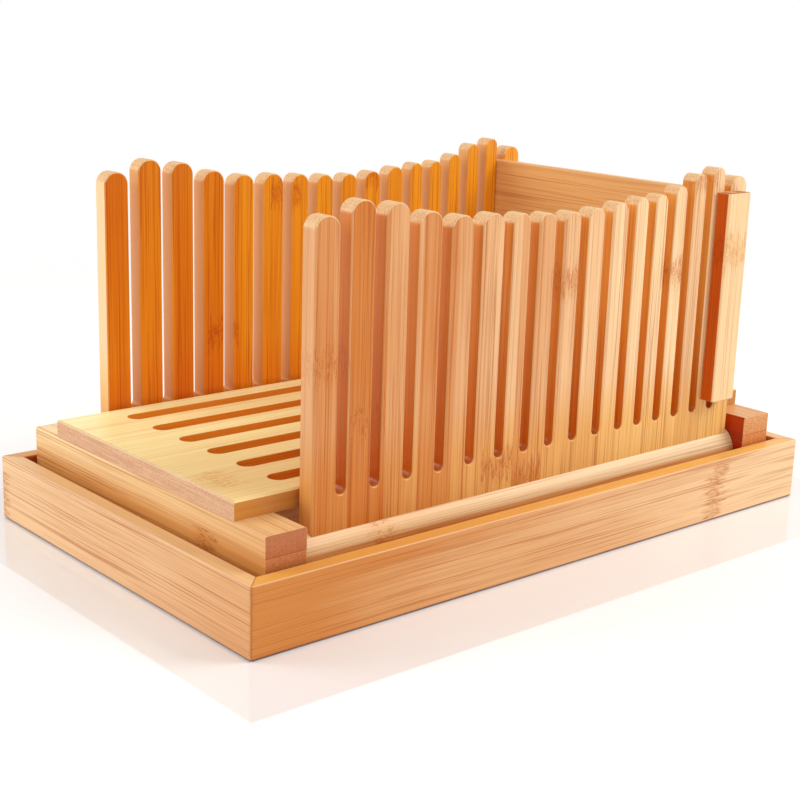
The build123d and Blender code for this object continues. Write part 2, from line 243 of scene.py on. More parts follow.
class SlicerColours(bpy.types.PropertyGroup):
    """Colours of the bamboo, the screws and the studio."""

    fence_pale: colour("Fence, pale", "Palest strips of the comb fences", 250, 211, 160)
    fence_warm: colour("Fence, warm", "Warmest strips of the comb fences", 206, 120, 44)
    fence_dark: colour("Fence, lines", "Dark fibre lines of the comb fences", 172, 86, 26)
    # painted shade: the tints over the fences' inner faces, their foot, low in their slots and on the
    # slots' round feet
    fence_skin: colour("Fence, inner face", "Tint over the faces that look into the channel", 251, 195, 56)
    fence_foot: colour("Fence, foot", "Tint over the foot of the fences, below the slots", 251, 232, 178)
    fence_well: colour("Fence, low in the slots", "Tint over the slots' walls low down", 244, 214, 178)
    fence_round: colour("Fence, slot feet", "Tint over the round feet of the slots", 228, 190, 124)
    fence_end: colour("Fence, tips", "Ground of the end grain on the finger tips", 236, 192, 138)
    fence_dots: colour("Fence, tip dots", "Fibre bundles cut across on the tips", 198, 132, 80)
    # painted shade: the tints over each fence's slot walls
    fence_slot_left: colour("Left slot walls", "Tint over the left fence's slot walls", 230, 199, 162)
    fence_slot_right: colour("Right slot walls", "Tint over the right fence's slot walls", 240, 196, 118)
    board_pale: colour("Board, pale", "Palest strips of the slatted board", 255, 241, 174)
    board_warm: colour("Board, warm", "Warmest strips of the slatted board", 250, 206, 132)
    board_dark: colour("Board, lines", "Dark fibre lines of the slatted board", 220, 156, 84)
    # painted shade: the tints over the board's long sides and over the walls of its crumb slots
    board_side: colour("Board, sides", "Tint over the board's long sides", 206, 159, 110)
    board_slot: colour("Board, crumb slots", "Tint over the walls of the crumb slots", 240, 161, 71)
    board_end: colour("Board, end grain", "Ground of the board's end grain", 226, 180, 140)
    board_dots: colour("Board, end dots", "Fibre bundles cut across on the board's ends", 186, 122, 88)
    bar_pale: colour("Crossbar, pale", "Palest strips of the crossbars", 250, 214, 156)
    bar_warm: colour("Crossbar, warm", "Warmest strips of the crossbars", 216, 146, 74)
    bar_dark: colour("Crossbar, lines", "Dark fibre lines of the crossbars", 178, 102, 44)
    # painted shade: the rear crossbar's face under the board, and both crossbars low in the tray
    bar_skin: colour("Rear crossbar, inner face", "Tint over its face under the board", 212, 98, 30)
    bar_foot: colour("Crossbar, foot", "Tint over the crossbars low down in the tray", 248, 216, 172)
    bar_end: colour("Front crossbar, end grain", "Ground of its end grain", 190, 116, 72)
    bar_end_rear: colour("Rear crossbar, end grain", "Ground of its end grain", 219, 142, 79)
    bar_dots: colour("Crossbar, end dots", "Fibre bundles cut across on the bars' ends", 152, 82, 48)
    tray_pale: colour("Tray, pale", "Palest strips of the crumb tray", 244, 202, 152)
    tray_warm: colour("Tray, warm", "Warmest strips of the crumb tray", 206, 130, 58)
    tray_dark: colour("Tray, lines", "Dark fibre lines of the crumb tray", 182, 98, 42)
    tray_side: colour("Tray, side rims", "Tint over the rims of the tray's long walls", 255, 234, 156)
    tray_end: colour("Tray, corners", "Ground of the end grain at the tray's corners", 234, 184, 130)
    tray_dots: colour("Tray, corner dots", "Fibre bundles cut across at the corners", 216, 156, 102)
    tray_side_end: colour("Tray, end rims", "Tint over the rims of the tray's end walls", 255, 252, 236)
    # painted shade: a contact shadow over the tray's last millimetre, and a tint over inner faces of tray
    # and front bar
    tray_foot: colour("Tray, foot", "Tint over the last millimetre above the floor", 128, 78, 60)
    tray_skin: colour("Tray, inner face", "Tint over the inner faces of tray and front bar", 222, 160, 96)
    rail_pale: colour("Rail, pale", "Palest strips of the hinge rails", 246, 222, 180)
    rail_warm: colour("Rail, warm", "Warmest strips of the hinge rails", 230, 168, 98)
    rail_dark: colour("Rail, lines", "Dark fibre lines of the hinge rails", 190, 118, 58)
    # painted shade: the tint over the rails' lower half
    rail_foot: colour("Rail, underside", "Tint over the rails' unbleached lower half", 240, 194, 146)
    stop_pale: colour("Back stop, pale", "Palest strips of the back board", 236, 180, 112)
    stop_warm: colour("Back stop, warm", "Warmest strips of the back board", 214, 146, 78)
    batten_pale: colour("Batten, pale", "Palest strips of the battens", 244, 206, 154)
    batten_dark: colour("Batten, lines", "Fibre lines and nodes of the battens", 206, 142, 82)
    # painted shade: the tint over the battens' narrow front sides
    batten_side: colour("Batten, front side", "Tint over the battens' narrow front sides", 218, 118, 42)
    steel: colour("Screw", "Zinc-plated steel", 190, 188, 182)
    floor: colour("Floor", "Studio floor", 246, 245, 243)


class SlicerStudio(bpy.types.PropertyGroup):
    """Camera and lamps."""

    camera_place: FloatVectorProperty(
        name="Camera", description="Where the camera stands", subtype="TRANSLATION", unit="LENGTH", size=3,
        default=(0.54416, -0.48549, 0.24907),
    )
    camera_yaw: FloatProperty(
        name="Yaw", description="Turn of the camera about the vertical", subtype="ANGLE",
        default=math.radians(49.01),
    )
    camera_pitch: FloatProperty(
        name="Pitch", description="Tilt of the camera above the horizontal", subtype="ANGLE",
        default=math.radians(-14.89),
    )
    camera_roll: FloatProperty(
        name="Roll", description="Turn of the camera about its own line of sight", subtype="ANGLE",
        default=math.radians(1.81),
    )
    lens: amount("Lens", "Focal length in millimetres, on a 36 mm sensor", 67.98, 500, "CAMERA")
    sky: amount("Surround", "Strength of the even light from all round", 0.58, 5)
    key: amount("Key lamp", "Power of the large lamp at the right rear, in watts", 11, 500, "POWER")
    fill: amount("Fill lamp", "Power of the low lamp at the front left, in watts", 7.5, 500, "POWER")
    front: amount("Front lamp", "Power of the soft lamp beside the camera, in watts", 4, 500, "POWER")
    mirror: amount("Floor mirror", "Strength of the tray's reflection in the glossy sheet", 0.165)


# --- building shaders ------------------------------------------------------------------------
class Shader:
    """A node tree with short ways to add the nodes that the finishes use."""

    def __init__(self, tree):
        self.tree = tree

    def add(self, kind, *inputs, **settings):
        """A node of that kind; inputs are sockets or values in the node's own order, None to leave one."""
        made = self.tree.nodes.new(kind)
        for name, value in settings.items():
            setattr(made, name, value)
        for socket, value in zip(made.inputs, inputs):
            self.feed(socket, value)
        return made

    def feed(self, socket, value):
        """Link a socket to another node's output, or set its value; a colour gets its fourth part here."""
        if isinstance(value, bpy.types.NodeSocket):
            self.tree.links.new(value, socket)
        elif value is not None:
            socket.default_value = (*value[:3], 1.0) if socket.type == "RGBA" else value

    def feed_named(self, node, values):
        """Set or link a node's inputs by name, spaces written as underscores; gives the node back."""
        for name, value in values.items():
            self.feed(node.inputs[name.replace("_", " ")], value)
        return node

    def maths(self, operation, *values, clamp=False):
        """One step of arithmetic."""
        return self.add("ShaderNodeMath", *values, operation=operation, use_clamp=clamp).outputs[0]

    def plus(self, first, second, clamp=False):
        """Two values added."""
        return self.maths("ADD", first, second, clamp=clamp)

    def minus(self, first, second):
        """The second value taken from the first."""
        return self.maths("SUBTRACT", first, second)

    def times(self, first, second, clamp=False):
        """Two values multiplied."""
        return self.maths("MULTIPLY", first, second, clamp=clamp)

    def over(self, first, second):
        """The first value divided by the second."""
        return self.maths("DIVIDE", first, second)

    def larger(self, first, second):
        """The larger of two values."""
        return self.maths("MAXIMUM", first, second)

    def size(self, value):
        """A value without its sign."""
        return self.maths("ABSOLUTE", value)

    def swing(self, share, reach):
        """A share from 0 to 1 turned into a swing of that reach, half of it to each side of nothing."""
        return self.times(self.minus(share, 0.5), reach)

    def ramp(self, value, low, high, bottom=0.0, top=1.0):
        """A value eased from one level to another between two marks."""
        marks = (value, low, high, bottom, top)
        return self.add("ShaderNodeMapRange", *marks, interpolation_type="SMOOTHSTEP").outputs[0]

    def turned(self, part):
        """1 on faces that look across an axis, 0 on those along it, by that part of their normal."""
        return self.ramp(self.size(part), *TURNED_FACES)

    def blend(self, share, first, second, how="MIX"):
        """Two colours mixed by a share."""
        made = self.add("ShaderNodeMix", data_type="RGBA", blend_type=how)
        self.feed(made.inputs["Factor"], share)
        for socket, value in zip([s for s in made.inputs if s.type == "RGBA"], (first, second)):
            self.feed(socket, value)
        return next(s for s in made.outputs if s.type == "RGBA")

    def tint(self, share, under, over):
        """A colour with a tint laid over it by a share."""
        return self.blend(share, under, self.blend(1.0, under, over, "MULTIPLY"))

    def place(self, along, across, depth):
        """A vector from its three parts."""
        return self.add("ShaderNodeCombineXYZ", along, across, depth).outputs[0]

    def parts(self, vector):
        """The three parts of a vector."""
        return self.add("ShaderNodeSeparateXYZ", vector).outputs

    def stretched(self, vector, rates):
        """A vector with each part multiplied by its own rate."""
        return self.add("ShaderNodeVectorMath", vector, rates, operation="MULTIPLY").outputs[0]

    def noise(self, vector, detail=2.0, roughness=0.5):
        """Soft noise with features about one unit wide."""
        made = self.add("ShaderNodeTexNoise", noise_dimensions="3D")
        self.feed_named(made, {"Vector": vector, "Scale": 1.0, "Detail": detail, "Roughness": roughness})
        return made.outputs[0]

    def cells(self, vector):
        """Distance to the nearest of many scattered points, about one unit apart."""
        made = self.add("ShaderNodeTexVoronoi", voronoi_dimensions="3D", feature="F1")
        return self.feed_named(made, {"Vector": vector, "Scale": 1.0}).outputs["Distance"]

    def bump(self, height, normal, depth):
        """A normal that follows a relief of that depth."""
        made = self.add("ShaderNodeBump")
        return self.feed_named(made, {"Distance": depth, "Height": height, "Normal": normal}).outputs[0]

    def principled(self, **values):
        """A Principled surface."""
        return self.feed_named(self.add("ShaderNodeBsdfPrincipled"), values).outputs[0]

    def group(self, build, **values):
        """The outputs of a node group, which has its function's name and is built the first time."""
        tree = bpy.data.node_groups.get(build.__name__) or build()
        return self.feed_named(self.add("ShaderNodeGroup", node_tree=tree), values).outputs


def new_group(name, inputs, outputs):
    """An empty node group; inputs are (name, kind, default), outputs are (name, kind)."""
    tree = bpy.data.node_groups.new(name, "ShaderNodeTree")
    for label, kind, default in inputs:
        socket = tree.interface.new_socket(name=label, in_out="INPUT", socket_type="NodeSocket" + kind)
        if default is not None:
            socket.default_value = default
    for label, kind in outputs:
        tree.interface.new_socket(name=label, in_out="OUTPUT", socket_type="NodeSocket" + kind)
    return Shader(tree), tree.nodes.new("NodeGroupInput").outputs, tree.nodes.new("NodeGroupOutput").inputs


def new_material(name):
    """An empty material, and the ways to add to it."""
    material = bpy.data.materials.new(name)
    material.use_nodes = True
    material.node_tree.nodes.clear()
    return material, Shader(material.node_tree)


# --- node groups that the materials share -----------------------------------------------------
def laminated_bamboo():
    """Laminated bamboo: strips, fibre lines, flecked nodes, glue lines and end grain.

    Place and Facing are given as (along the grain, across the strips, through the layers).
    """
    grain = bpy.context.scene.slicer_grain
    s, given, result = new_group(
        "laminated_bamboo",
        [
            ("Place", "Vector", None),
            ("Facing", "Vector", None),
            ("Pale", "Color", (0.8, 0.6, 0.4, 1)),
            ("Warm", "Color", (0.7, 0.4, 0.2, 1)),
            ("Lines", "Color", (0.4, 0.2, 0.1, 1)),
            # painted light: the side fade; painted shade: the inward shade, and the side tint on slot walls
            # and sides
            ("Side Tint", "Color", (1, 1, 1, 1)),
            ("Side Share", "Float", 1.0),
            ("Side Fade", "Float", 0.0),
            ("Skin Tint", "Color", (1, 1, 1, 1)),
            ("End Pale", "Color", (0.7, 0.4, 0.2, 1)),
            ("End Dots", "Color", (0.3, 0.1, 0.1, 1)),
            ("Strip Width", "Float", grain.strip),
            ("Strip Shift", "Float", 0.0),
            ("Layer Depth", "Float", 0.1),
            ("Fibre Width", "Float", grain.fibre),
            ("Node Spacing", "Float", grain.node_spacing),
            ("Node Band", "Float", grain.node_band),
            ("Tone Spread", "Float", 0.5),
            ("Line Strength", "Float", 0.5),
            ("Glue Strength", "Float", 0.2),
            ("End Streaks", "Float", 0.1),
            ("End Spread", "Float", 0.0),
            ("End Reach", "Float", END_REACH),
            ("Painted Light", "Float", 0.0),
            ("Seed", "Float", 0.0),
        ],
        [("Color", "Color"), ("Roughness", "Float"), ("Height", "Float")],
    )
    along, across, depth = s.parts(given["Place"])

    def drifting(along_rate, across_rate, detail):
        """Soft noise over the face of the strips, with that many waves to the metre."""
        where = s.place(s.times(along, along_rate), s.times(across, across_rate), given["Seed"])
        return s.noise(where, detail)

    # the strips wander a little along their length
    across_true = s.plus(across, s.swing(drifting(*WANDER_RATE, 1.0), WANDER))
    strip_at = s.over(s.plus(across_true, given["Strip Shift"]), given["Strip Width"])
    layer_at = s.over(depth, given["Layer Depth"])
    strip_turn = s.times(s.maths("FLOOR", strip_at), STRIP_TURN)
    layer_turn = s.times(s.maths("FLOOR", layer_at), LAYER_TURN)
    own = s.plus(s.plus(strip_turn, layer_turn), given["Seed"])

    def chance(draw):
        """A share from 0 to 1 that every strip of every layer keeps to itself."""
        return s.maths("FRACT", s.times(s.maths("SINE", s.plus(own, draw)), SCATTER))

    chance_node = chance(0.0)
    chance_tone = chance(TONE_DRAW)

    # fibres: long thin noise in three widths, cut across it turns into speckle
    lengthwise = s.plus(s.times(along, STREAK_RATE), s.times(chance_node, STREAK_DRAW))

    def streaks(stretch, width, roughness):
        """Noise drawn out along the grain, its features about that wide."""
        where = s.place(s.times(lengthwise, stretch), s.over(across_true, width), s.over(depth, width))
        return s.noise(where, roughness=roughness)

    fine = streaks(1.0, given["Fibre Width"], 0.6)
    middle = streaks(0.6, s.times(given["Fibre Width"], MIDDLE_STREAK), 0.55)
    broad = streaks(0.3, BROAD_STREAK, 0.5)
    cloud = drifting(*CLOUD_RATE, 2.0)

    # nodes: a ragged band of dark dashes and dots at intervals along each strip
    def scattered(along_rate, across_rate):
        """A place in which one unit is that many marks to the metre."""
        return s.place(
            s.times(along, along_rate), s.times(across_true, across_rate), s.times(depth, across_rate)
        )

    node_at = s.plus(s.over(along, given["Node Spacing"]), chance_node)
    from_node = s.size(s.minus(s.maths("FRACT", node_at), 0.5))
    from_node = s.times(from_node, given["Node Spacing"])
    tongues = s.noise(scattered(*TONGUE_RATE), roughness=0.6)
    ragged = s.plus(from_node, s.swing(tongues, s.times(given["Node Band"], NODE_TONGUE)))
    band = s.ramp(ragged, given["Node Band"], s.times(given["Node Band"], NODE_CORE))
    dashes = s.ramp(s.noise(scattered(*DASH_RATE), roughness=0.6), *DASH_LEVELS)
    dots = s.ramp(s.cells(scattered(*DOT_RATE)), *DOT_LEVELS)
    node_marks = s.times(band, s.larger(s.times(dashes, DASH_STRENGTH), dots), clamp=True)

    # glue lines between strips and between layers
    def joints(cell, width, line):
        """A line along the joints between cells of that width."""
        off = s.size(s.minus(s.maths("FRACT", cell), 0.5))
        return s.ramp(s.times(s.minus(0.5, off), width), *line)

    strip_joints = joints(strip_at, given["Strip Width"], STRIP_GLUE)
    layer_joints = joints(layer_at, given["Layer Depth"], LAYER_GLUE)
    glue = s.larger(strip_joints, layer_joints)

    # colour along the grain
    tone = s.plus(s.swing(broad, BROAD_TONE), s.swing(middle, MIDDLE_TONE))
    # painted light: the drift makes the tone warmer to the right and paler towards the back
    tone = s.plus(s.times(tone, given["Tone Spread"]), given["Painted Light"])
    tone = s.plus(tone, s.swing(chance_tone, STRIP_TONE))
    tone = s.plus(tone, s.swing(cloud, CLOUD_TONE))
    tone = s.plus(tone, MEAN_TONE, clamp=True)
    bunched = s.ramp(broad, *BUNCH_LEVELS, *LINE_BUNCHING)
    lines = s.times(s.ramp(fine, *LINE_LEVELS), s.times(given["Line Strength"], bunched), clamp=True)
    rare_strength = s.times(given["Line Strength"], RARE_LINE_STRENGTH)
    rare = s.times(s.ramp(middle, *RARE_LINE_LEVELS), rare_strength)
    lines = s.larger(lines, rare)
    long_grain = s.blend(tone, given["Pale"], given["Warm"])
    long_grain = s.blend(lines, long_grain, given["Lines"])
    long_grain = s.blend(s.times(band, BAND_STRENGTH), long_grain, given["Warm"])
    long_grain = s.blend(s.times(node_marks, NODE_STRENGTH), long_grain, given["Lines"])
    long_grain = s.blend(s.times(glue, given["Glue Strength"]), long_grain, given["Lines"])

    # faces square to the strips fade paler (painted light) and take the side tint; inward faces take
    # painted shade
    face_along, face_across, face_depth = s.parts(given["Facing"])
    side = s.ramp(s.size(face_across), *SIDE_FACES)
    long_grain = s.blend(s.times(side, given["Side Fade"]), long_grain, given["Pale"])
    flat_side = s.times(s.ramp(s.size(face_across), *FLAT_SIDE_FACES), given["Side Share"])
    long_grain = s.tint(flat_side, long_grain, given["Side Tint"])
    inward = s.ramp(s.times(face_depth, depth), *INWARD_FACES)
    long_grain = s.tint(inward, long_grain, given["Skin Tint"])

    # end grain: fibre bundles in bands that run across the strips
    bundles = s.ramp(s.cells(scattered(*BUNDLE_RATE)), *BUNDLE_LEVELS)
    bands_at = s.place(0.0, s.times(across, END_BAND_RATE_ACROSS), s.times(depth, END_BAND_RATE_DEPTH))
    end_bands = s.times(s.ramp(s.noise(bands_at), *END_BAND_LEVELS), given["End Streaks"])
    end_glue = s.times(glue, s.times(given["Glue Strength"], END_GLUE_STRENGTH), clamp=True)
    lighter = s.times(s.ramp(chance_tone, *END_SPREAD_LEVELS), given["End Spread"])
    end_grain = s.blend(lighter, given["End Pale"], given["Pale"])
    for share in (end_bands, s.times(bundles, BUNDLE_STRENGTH), end_glue):
        end_grain = s.blend(share, end_grain, given["End Dots"])
    ends = s.ramp(s.size(face_along), given["End Reach"], s.plus(given["End Reach"], END_EASE))
    s.feed(result["Color"], s.blend(ends, long_grain, end_grain))

    rough = s.plus(s.times(fine, FIBRE_ROUGHNESS), s.times(ends, END_ROUGHNESS))
    rough = s.plus(rough, s.times(cloud, CLOUD_ROUGHNESS))
    s.feed(result["Roughness"], s.plus(rough, PLANED))
    low = s.plus(s.times(lines, LINE_DEPTH), s.times(glue, GLUE_DEPTH))
    low = s.plus(low, s.times(s.times(ends, bundles), BUNDLE_DEPTH))
    s.feed(result["Height"], s.minus(1.0, low))
    return s.tree


def inside_slots():
    """Masks for painted shade in a fence's slots: walls but not the fence's ends, how deep down, round
    feet.
    """
    s, given, result = new_group(
        "inside_slots",
        [
            ("Place", "Vector", None),
            ("Facing", "Vector", None),
            ("Front", "Float", FENCE_FRONT),
            ("Back", "Float", FENCE_BACK),
        ],
        [("Inside", "Float"), ("Well", "Float"), ("Round", "Float")],
    )
    place = s.parts(given["Place"])
    facing = s.parts(given["Facing"])
    from_front = s.ramp(s.minus(place[Y], given["Front"]), *SLOT_MARGIN)
    from_back = s.ramp(s.minus(given["Back"], place[Y]), *SLOT_MARGIN)
    inside = s.times(from_front, from_back)
    s.feed(result["Inside"], inside)
    narrow = s.times(inside, s.turned(facing[X]))
    s.feed(result["Well"], s.times(narrow, s.ramp(place[Z], *WELL_HEIGHTS)))
    below_tips = s.ramp(place[Z], *reversed(TIP_HEIGHTS))
    rounded = s.times(s.ramp(s.size(facing[Z]), *ROUND_FACES), below_tips)
    s.feed(result["Round"], s.times(narrow, rounded))
    return s.tree


def painted_light_drift():
    """Painted light: how much warmer the wood is painted at a place, warmer to the right, paler to the
    back.
    """
    grain = bpy.context.scene.slicer_grain
    s, given, result = new_group(
        "painted_light_drift",
        [
            ("Place", "Vector", None),
            ("To Right", "Float", grain.bleach_right),
            ("To Back", "Float", grain.bleach_back),
        ],
        [("Painted Light", "Float")],
    )
    place = s.parts(given["Place"])
    warmer = s.times(place[X], given["To Right"])
    paler = s.times(place[Y], given["To Back"])
    s.feed(result["Painted Light"], s.minus(warmer, paler))
    return s.tree


def eased_edge():
    """Eased edges: a normal that rounds the sharp edges, and a mask of where they are."""
    s, given, result = new_group(
        "eased_edge",
        [("Radius", "Float", bpy.context.scene.slicer_grain.edge)],
        [("Normal", "Vector"), ("Edge", "Float")],
    )
    rounded = s.feed_named(s.add("ShaderNodeBevel", samples=6), {"Radius": given["Radius"]}).outputs[0]
    flat = s.add("ShaderNodeNewGeometry").outputs["Normal"]
    match = s.add("ShaderNodeVectorMath", rounded, flat, operation="DOT_PRODUCT").outputs["Value"]
    s.feed(result["Normal"], rounded)
    s.feed(result["Edge"], s.ramp(match, *EASED_EDGE))
    return s.tree


def mitre_line():
    """A fine dark line down the mitred corners of the tray."""
    s, given, result = new_group(
        "mitre_line",
        [
            ("Place", "Vector", None),
            ("Half Width", "Float", TRAY_HALF_WIDTH),
            ("Half Length", "Float", TRAY_HALF_LENGTH),
        ],
        [("Line", "Float")],
    )
    place = s.parts(given["Place"])
    from_side = s.minus(given["Half Width"], s.size(place[X]))
    from_end = s.minus(given["Half Length"], s.size(place[Y]))
    s.feed(result["Line"], s.ramp(s.size(s.minus(from_side, from_end)), *MITRE))
    return s.tree


# --- bamboo, and how the pieces take a material ------------------------------------------------
def bamboo(
    name, axes, family, end="bar", mitre=False, comb=0.0, crumb_slot_shade=None, front_sides=False, foot=None,
    to_right=None, to_back=None, **values,
):
    """A bamboo material for pieces with that grain, in one family of colours.

    Comb is how much painted shade darkens a fence's slots low down, 0 for other pieces. The crumb slot
    shade is the painted shade over the walls of the board's slots. With front sides, only the sides that
    look to the front have the side tint, painted shade there. Foot is ((low, high), tint): below the height
    low the wood has that painted shade over it, above high it hasn't.
    """
    colours = bpy.context.scene.slicer_colours
    pale = getattr(colours, family + "_pale")
    material, s = new_material(name)
    here = s.add("ShaderNodeTexCoord").outputs
    place = s.parts(here["Object"])
    facing = s.parts(here["Normal"])
    light_drift = s.group(painted_light_drift, Place=here["Object"], To_Right=to_right, To_Back=to_back)
    tones = {
        "Pale": pale,
        "Warm": getattr(colours, family + "_warm"),
        "Lines": getattr(colours, family + "_dark"),
        "End_Pale": getattr(colours, end + "_end"),
        "End_Dots": getattr(colours, end + "_dots"),
        "Painted Light": light_drift["Painted Light"],
    }
    # where the side tint, painted shade there, falls: a fence's slot walls, a batten's front, the board's
    # outer sides
    if comb:
        slots = s.group(inside_slots, Place=here["Object"], Facing=here["Normal"])
        tones["Side_Share"] = slots["Inside"]
        tones["End_Reach"] = s.ramp(place[Z], *TIP_HEIGHTS, bottom=END_REACH, top=TIP_END_REACH)
    if front_sides:
        tones["Side_Share"] = s.ramp(facing[Y], *FRONT_FACES)
    if crumb_slot_shade:
        from_side = s.ramp(s.minus(BOARD_CORNER.x, s.size(place[X])), *SLOT_MARGIN)
        from_end = s.ramp(s.minus(BOARD_CORNER.y, s.size(place[Y])), *SLOT_MARGIN)
        within = s.times(from_side, from_end)
        tones["Side_Share"] = s.minus(1.0, within)
    tones.update(values)
    wood = s.group(
        laminated_bamboo,
        Place=s.place(*[place[axis] for axis in axes]),
        Facing=s.place(*[facing[axis] for axis in axes]),
        **tones,
    )
    skin = wood["Color"]
    # painted shade low in a fence's slots and on their round feet
    if comb:
        skin = s.tint(s.times(slots["Well"], comb), skin, colours.fence_well)
        skin = s.tint(slots["Round"], skin, colours.fence_round)
    # painted shade over the walls of the board's crumb slots
    if crumb_slot_shade:
        skin = s.tint(s.times(within, s.turned(facing[Z])), skin, crumb_slot_shade)
    # painted shade over the piece's foot
    if foot:
        heights, over = foot
        skin = s.tint(s.ramp(place[Z], *reversed(heights)), skin, over)
    edges = s.group(eased_edge)
    # a painted highlight: eased edges blended towards the pale colour
    skin = s.blend(s.times(edges["Edge"], EDGE_HIGHLIGHT_STRENGTH), skin, pale)
    if mitre:
        line = s.group(mitre_line, Place=here["Object"])["Line"]
        skin = s.blend(s.times(line, MITRE_STRENGTH), skin, colours.tray_dark)
    surface = s.principled(
        Base_Color=skin,
        Roughness=wood["Roughness"],
        Normal=s.bump(wood["Height"], edges["Normal"], bpy.context.scene.slicer_grain.relief),
        Specular_IOR_Level=0.25,
        Coat_Weight=0.08,
        Coat_Roughness=0.2,
    )
    s.add("ShaderNodeOutputMaterial", surface)
    return material


def finish(nodes, material):
    """Give CAD nodes a material in their own slots."""
    for name in nodes:
        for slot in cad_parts[name].material_slots:
            slot.link = "OBJECT"
            slot.material = material


def both(name):
    """A piece's left and right nodes."""
    return [f"left_{name}", f"right_{name}"]


# --- operators: one for each kind of piece -----------------------------------------------------
class SLICER_OT_tray(bpy.types.Operator):
    """Finish the crumb tray's four mitred walls and its floor panel"""

    bl_idname = "slicer.tray"
    bl_label = "Crumb tray"

    def execute(self, context):
        colours = context.scene.slicer_colours
        # painted shade: a contact shadow at the foot and the inward shade; the side fade paints the rims
        # paler, painted light
        wall = {
            "family": "tray",
            "end": "tray",
            "mitre": True,
            "foot": (TRAY_FOOT, colours.tray_foot),
            "Strip_Width": TRAY_STRIP,
            "Side_Fade": 0.6,
            "Skin_Tint": colours.tray_skin,
        }
        side = bamboo(
            "tray_side_bamboo", GRAIN_Y_UPRIGHT, Layer_Depth=0.08, Side_Tint=colours.tray_side,
            Tone_Spread=0.3, Line_Strength=0.52, Seed=8.55, **wall,
        )
        # the end walls take a stronger painted light drift, darker and warmer to the right
        end = bamboo(
            "tray_end_bamboo", GRAIN_X_UPRIGHT, to_right=2.6, to_back=0.0, Side_Tint=colours.tray_side_end,
            Tone_Spread=0.12, Fibre_Width=0.0006, Line_Strength=0.58, Seed=56.27, **wall,
        )
        floor = bamboo(
            "tray_floor_bamboo", GRAIN_Y, "tray", Strip_Width=0.02, Line_Strength=0.45, Seed=12.0
        )
        finish(["tray_left_wall", "tray_right_wall"], side)
        finish(["tray_front_wall", "tray_rear_wall"], end)
        finish(["tray_floor"], floor)
        return {"FINISHED"}


class SLICER_OT_crossbars(bpy.types.Operator):
    """Finish the two crossbars that carry the board and the hinges"""

    bl_idname = "slicer.crossbars"
    bl_label = "Crossbars"

    def execute(self, context):
        colours = context.scene.slicer_colours
        # painted shade: each bar's inner face takes its own tint, and its foot low in the tray another
        for place, end, inner in (
            ("front", colours.bar_end, colours.tray_skin),
            ("rear", colours.bar_end_rear, colours.bar_skin),
        ):
            wood = bamboo(
                place + "_crossbar_bamboo", GRAIN_X_UPRIGHT, "bar", foot=(BAR_FOOT, colours.bar_foot),
                to_right=3.2, to_back=0.0, Strip_Width=BAR_STRIP,
                Strip_Shift=-(BAR_TOP - BAR_JOINT) % BAR_STRIP, Skin_Tint=inner, End_Pale=end,
                End_Spread=0.2, Glue_Strength=0.4, Line_Strength=0.45, Seed=52.98,
            )
            finish([place + "_crossbar"], wood)
        return {"FINISHED"}


class SLICER_OT_board(bpy.types.Operator):
    """Finish the slatted board"""

    bl_idname = "slicer.board"
    bl_label = "Slatted board"

    def execute(self, context):
        colours = context.scene.slicer_colours
        # painted shade on the long sides and in the crumb slots, and a painted light drift to the right
        wood = bamboo(
            "board_bamboo", GRAIN_Y, "board", "board", crumb_slot_shade=colours.board_slot, to_right=3.2,
            to_back=0.0, Strip_Width=BOARD_STRIP, Strip_Shift=BOARD_STRIP / 2, Side_Tint=colours.board_side,
            Glue_Strength=0.08, End_Streaks=0.35, Node_Spacing=0.36, Line_Strength=0.3, Seed=48.7,
        )
        finish(["slatted_board"], wood)
        return {"FINISHED"}


class SLICER_OT_fences(bpy.types.Operator):
    """Finish the two comb fences"""

    bl_idname = "slicer.fences"
    bl_label = "Comb fences"

    def execute(self, context):
        colours = context.scene.slicer_colours
        # per fence: slot-wall painted shade, side fade painting sides paler, painted shade deep in the
        # slots
        for side, tint, seed, fade, well in (
            ("left", colours.fence_slot_left, 25.46, 0.9, 0.15),
            ("right", colours.fence_slot_right, 15.91, 0.3, 1.0),
        ):
            # painted shade over the foot and the inner faces
            wood = bamboo(
                side + "_fence_bamboo", GRAIN_Z, "fence", "fence", comb=well,
                foot=(FENCE_FOOT, colours.fence_foot), Side_Fade=fade, Side_Tint=tint,
                Skin_Tint=colours.fence_skin, Strip_Shift=0.113, Node_Spacing=0.26, Tone_Spread=0.42,
                Line_Strength=0.52, Glue_Strength=0.12, Seed=seed,
            )
            finish([side + "_fence"], wood)
        return {"FINISHED"}


class SLICER_OT_rails(bpy.types.Operator):
    """Finish the two hinge rails"""

    bl_idname = "slicer.rails"
    bl_label = "Hinge rails"

    def execute(self, context):
        colours = context.scene.slicer_colours
        # painted shade over the rails' lower half, and a painted light drift paler to the back
        wood = bamboo(
            "rail_bamboo", GRAIN_Y, "rail", foot=(RAIL_FOOT, colours.rail_foot), to_back=1.8,
            Strip_Width=0.05, Line_Strength=0.4, Seed=6.64,
        )
        finish(both("hinge_rail"), wood)
        return {"FINISHED"}


